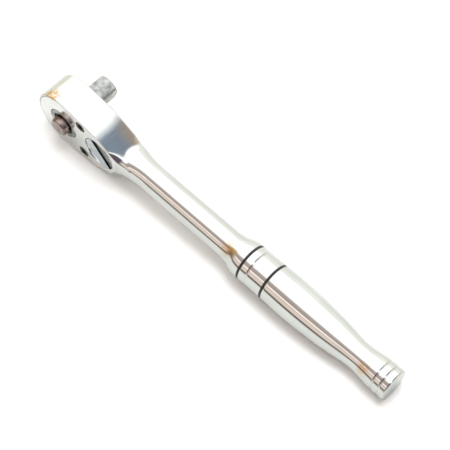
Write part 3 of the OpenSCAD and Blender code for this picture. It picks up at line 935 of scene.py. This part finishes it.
def materials():
    """One material for each of the record's slots."""
    made = {"body_chrome": body_chrome()}
    made["cover_satin"] = metal(
        "cover_satin", (0.84, 0.86, 0.86), (0.93, 0.95, 0.94), (0.10, 0.24),
        [((0.15, 1.0, 1.0), 1800.0, 3.0, 0.000004), (EVEN, 900.0, 3.0, 0.000006)], tint_noise=(420.0, 5.0),
    )
    made["drive_steel"] = metal(
        "drive_steel", (0.24, 0.25, 0.245), (0.62, 0.63, 0.60), (0.25, 0.45),
        [(EVEN, 500.0, 4.0, 0.00003)], tint_noise=(300.0, 5.0),
    )
    made["black_oxide"] = dull("black_oxide", (0.012, 0.012, 0.014), (0.03, 0.03, 0.034), (0.3, 0.5))
    made["band_black"] = dull("band_black", (0.008, 0.008, 0.009), (0.02, 0.02, 0.022), (0.28, 0.45))
    made["button_chrome"] = metal(
        "button_chrome", (0.22, 0.15, 0.145), (0.44, 0.36, 0.325), (0.10, 0.24),
        [(EVEN, 400.0, 2.0, 0.00001)], tint_noise=(330.0, 4.0),
    )
    made["selector_chrome"] = selector_chrome()
    made["spring_steel"] = metal(
        "spring_steel", (0.35, 0.36, 0.38), (0.5, 0.51, 0.53), (0.2, 0.35), [(EVEN, 900.0, 2.0, 0.00001)]
    )
    made["ball_steel"] = metal(
        "ball_steel", (0.6, 0.61, 0.63), (0.7, 0.71, 0.73), (0.06, 0.14), [(EVEN, 500.0, 2.0, 0.000004)]
    )
    made["pawl_steel"] = metal(
        "pawl_steel", (0.16, 0.165, 0.18), (0.3, 0.31, 0.33), (0.25, 0.45), [(EVEN, 700.0, 4.0, 0.00002)]
    )
    made["seal_rubber"] = dull("seal_rubber", (0.012, 0.012, 0.012), (0.03, 0.03, 0.03), (0.5, 0.7))
    return made


# ---------------------------------------------------------------- camera, floor and light

# The camera is level and looks down at 61.6 degrees, from 44.17 degrees off the drive's direction.
CAMERA_BACK = Vector((0.33141, -0.34115, 0.87965)).normalized()
CAMERA_RIGHT = Vector((0.7173, 0.6968, 0)).normalized()
CAMERA_UP = CAMERA_BACK.cross(CAMERA_RIGHT)
CAMERA_TARGET = Vector((80.0, -8.0, 0.0)) + 8.84 * CAMERA_RIGHT - 0.98 * CAMERA_UP
CAMERA_DISTANCE = 603.2
SENSOR = 36.0
LENS = 113.09


def camera():
    data = bpy.data.cameras.new("camera")
    data.sensor_width = SENSOR
    data.lens = LENS
    obj = bpy.data.objects.new("camera", data)
    bpy.context.scene.collection.objects.link(obj)
    turn = Matrix((CAMERA_RIGHT, CAMERA_UP, CAMERA_BACK)).transposed().to_4x4()
    place = (CAMERA_TARGET + CAMERA_DISTANCE * CAMERA_BACK) * MM
    obj.matrix_world = Matrix.Translation(place) @ turn
    bpy.context.scene.camera = obj
    return obj


FLOOR_TILT = math.asin((HEAD_R - KNOB_R) / KNOB_X)   # the head is wider than the knob
FLOOR_GAP = 0.02


def floor():
    """Pale board that the head's edge and the knob rest on, a little larger than the camera's view."""
    normal = Vector((-math.sin(FLOOR_TILT), 0, math.cos(FLOOR_TILT)))
    eye = CAMERA_TARGET + CAMERA_DISTANCE * CAMERA_BACK
    half = 1.04 * SENSOR / 2 / LENS
    corners = []
    for a, b in ((-1, -1), (1, -1), (1, 1), (-1, 1)):
        ray = a * half * CAMERA_RIGHT + b * half * CAMERA_UP - CAMERA_BACK
        reach = (-(HEAD_R + FLOOR_GAP) - eye.dot(normal)) / ray.dot(normal)
        corners.append(eye + reach * ray)
    board = mesh_object("floor", corners, [(0, 1, 2, 3)])
    s = Shader(bpy.data.materials.new("floor_white"))
    seen = s.mix(s.noise(EVEN, 40.0), (0.965, 0.97, 0.955), (0.985, 0.99, 0.975))
    mirrored = s.mix(s.noise(EVEN, 40.0), (0.715, 0.73, 0.70), (0.735, 0.75, 0.72))
    color = s.mix(s.node("ShaderNodeLightPath").outputs["Is Camera Ray"], mirrored, seen)
    board.data.materials.append(s.surface(Base_Color=color, Roughness=0.7, Specular_IOR_Level=0.1))
    return board


def studio():
    """Soft white room, darker and brown on the side that the cover faces, as a colour for each direction."""
    world = bpy.data.worlds.new("studio")
    bpy.context.scene.world = world
    s = Shader(world)
    direction = s.node("ShaderNodeTexCoord").outputs["Generated"]
    parts = s.node("ShaderNodeSeparateXYZ", {"Vector": direction})
    x, y, z = parts.outputs
    # Angle round the handle: 0 is up, 90 is level on the cover's side, -90 is level on the drive's side
    around = s.math("ARCTAN2", s.math("MULTIPLY", y, -1.0), z)
    share = s.spread(around, -math.pi, math.pi, 0.0, 1.0)

    def at(degrees):
        return (degrees + 180) / 360

    white = (1.5, 1.5, 1.5)
    pale = (0.88, 0.90, 0.83)
    low = (0.35, 0.33, 0.30)
    cover_side = s.ramp(share, [
        (at(-180), low),
        (at(-100), pale),
        (at(-76), (1.10, 1.10, 1.02)),
        (at(-62), (1.10, 1.10, 1.02)),
        (at(-52), white),
        (at(25), white),
        (at(34), (0.54, 0.46, 0.42)),
        (at(51), (0.48, 0.40, 0.37)),
        (at(55), (1.45, 1.25, 1.15)),
        (at(60), (1.45, 1.25, 1.15)),
        (at(62), (0.30, 0.22, 0.20)),
        (at(65), (0.98, 0.82, 0.73)),
        (at(81), (0.90, 0.75, 0.67)),
        (at(85), (0.17, 0.12, 0.105)),
        (at(91), (0.17, 0.12, 0.105)),
        (at(97), pale),
        (at(180), low),
    ])
    # Towards the handle's end the room is darker: blue-grey high up, and deep purple beside the neck
    ahead = s.spread(x, 0.05, 0.30, 0.0, 1.0)
    far_side = s.ramp(share, [
        (at(-180), low),
        (at(-100), pale),
        (at(-88), (0.80, 0.70, 0.55)),
        (at(-65), (0.70, 0.60, 0.46)),
        (at(-50), (0.56, 0.46, 0.37)),
        (at(-36), (0.42, 0.35, 0.30)),
        (at(-24), (0.24, 0.30, 0.38)),
        (at(-5), (0.34, 0.40, 0.48)),
        (at(12), white),
        (at(18), white),
        (at(26), (0.14, 0.12, 0.17)),
        (at(60), (0.16, 0.11, 0.15)),
        (at(85), (0.10, 0.07, 0.08)),
        (at(97), (0.6, 0.6, 0.56)),
        (at(180), low),
    ])
    # Towards the head's round end it is low and warm
    behind = s.spread(x, -0.62, -0.80, 0.0, 1.0)
    near_side = s.ramp(share, [
        (at(-180), (0.95, 0.90, 0.74)),
        (at(-100), (1.0, 0.96, 0.80)),
        (at(-60), white),
        (at(14), white),
        (at(28), (0.75, 0.45, 0.18)),
        (at(60), (0.42, 0.30, 0.17)),
        (at(85), (0.20, 0.14, 0.10)),
        (at(97), pale),
        (at(180), low),
    ])
    room = s.mix(behind, s.mix(ahead, cover_side, far_side), near_side)
    background = s.node("ShaderNodeBackground", {"Color": room, "Strength": 1.0})
    plain = s.node("ShaderNodeBackground", {"Color": (1.3, 1.3, 1.3, 1.0), "Strength": 1.0})
    is_camera = s.node("ShaderNodeLightPath").outputs["Is Camera Ray"]
    both = s.node("ShaderNodeMixShader", {0: is_camera, 1: background.outputs[0], 2: plain.outputs[0]})
    s.node("ShaderNodeOutputWorld", {"Surface": both.outputs[0]})


def soft_light():
    """One wide soft light, from above on the drive's side."""
    data = bpy.data.lights.new("soft_light", "AREA")
    data.shape = "DISK"
    data.size = 0.40
    data.energy = 4.6
    obj = bpy.data.objects.new("soft_light", data)
    bpy.context.scene.collection.objects.link(obj)
    aim = Vector((0.08, 0, 0))
    place = aim + Vector((0.02, 0.12, 1.0))
    obj.matrix_world = Matrix.Translation(place) @ (place - aim).to_track_quat("Z", "Y").to_matrix().to_4x4()
    obj.visible_glossy = False


# ---------------------------------------------------------------- assembly

MATERIALS = materials()


def place_piece(obj, body, slot, *nodes):
    """Gives a piece its material and body, and hides the CAD nodes that it stands for."""
    obj.data.materials.clear()
    obj.data.materials.append(MATERIALS[slot])
    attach(obj, body)
    if nodes:
        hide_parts(*nodes)
    return obj


place_piece(forged_body(), "root", "body_chrome", "ratchet_body")
place_piece(cover_plate(), "root", "cover_satin", "cover_plate")
place_piece(cover_screw("hex_screw_upper", 1), "root", "black_oxide", "cover_screw_upper")
place_piece(cover_screw("hex_screw_lower", -1), "root", "black_oxide", "cover_screw_lower")
place_piece(grip_band("black_band_front", BAND_X[0]), "root", "band_black", "grip_band_front")
place_piece(grip_band("black_band_rear", BAND_X[1]), "root", "band_black", "grip_band_rear")
place_piece(drive_gear(), "drive", "drive_steel", "drive_gear")
place_piece(retaining_ring(), "drive", "black_oxide", "button_retaining_ring")
place_piece(release_button(), "button", "button_chrome", "release_button")
place_piece(push_rod(), "button", "ball_steel", "release_rod")
place_piece(selector_lever(), "selector", "selector_chrome", "selector_lever")
place_piece(selector_arrow(), "selector", "black_oxide")

# Springs: each stands on its fixed end and gets a mesh of its own
length, travel = 4.8, 3.0
fixed_end = Vector((0, FACE_Y + WELL_END, 0))
spring = coil("button_coil", 3.4, 0.5, length, 3, fixed_end, (0, -1, 0))
place_piece(spring, "drive", "spring_steel", "button_spring")
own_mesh(spring)

length, travel = 3.2, 0.5
ball_way = Vector((math.cos(SELECTOR_TURN), 0, math.sin(SELECTOR_TURN)))
fixed_end = Vector((SELECTOR_X, FACE_Y + SPRING_HOLE_D, 0)) - SPRING_HOLE_X * ball_way
spring = coil("selector_coil", 0.7, 0.3, length, 4, fixed_end, ball_way)
place_piece(spring, "selector", "spring_steel", "pawl_spring")
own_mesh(spring)

for part in frame["record"]["subparts"]:
    node = frame["nodes"][part["node"]]
    node.data.materials.clear()
    node.data.materials.append(MATERIALS[part["material_slot"]])

camera()
floor()
studio()
soft_light()
bpy.context.scene.view_settings.view_transform = "Standard"
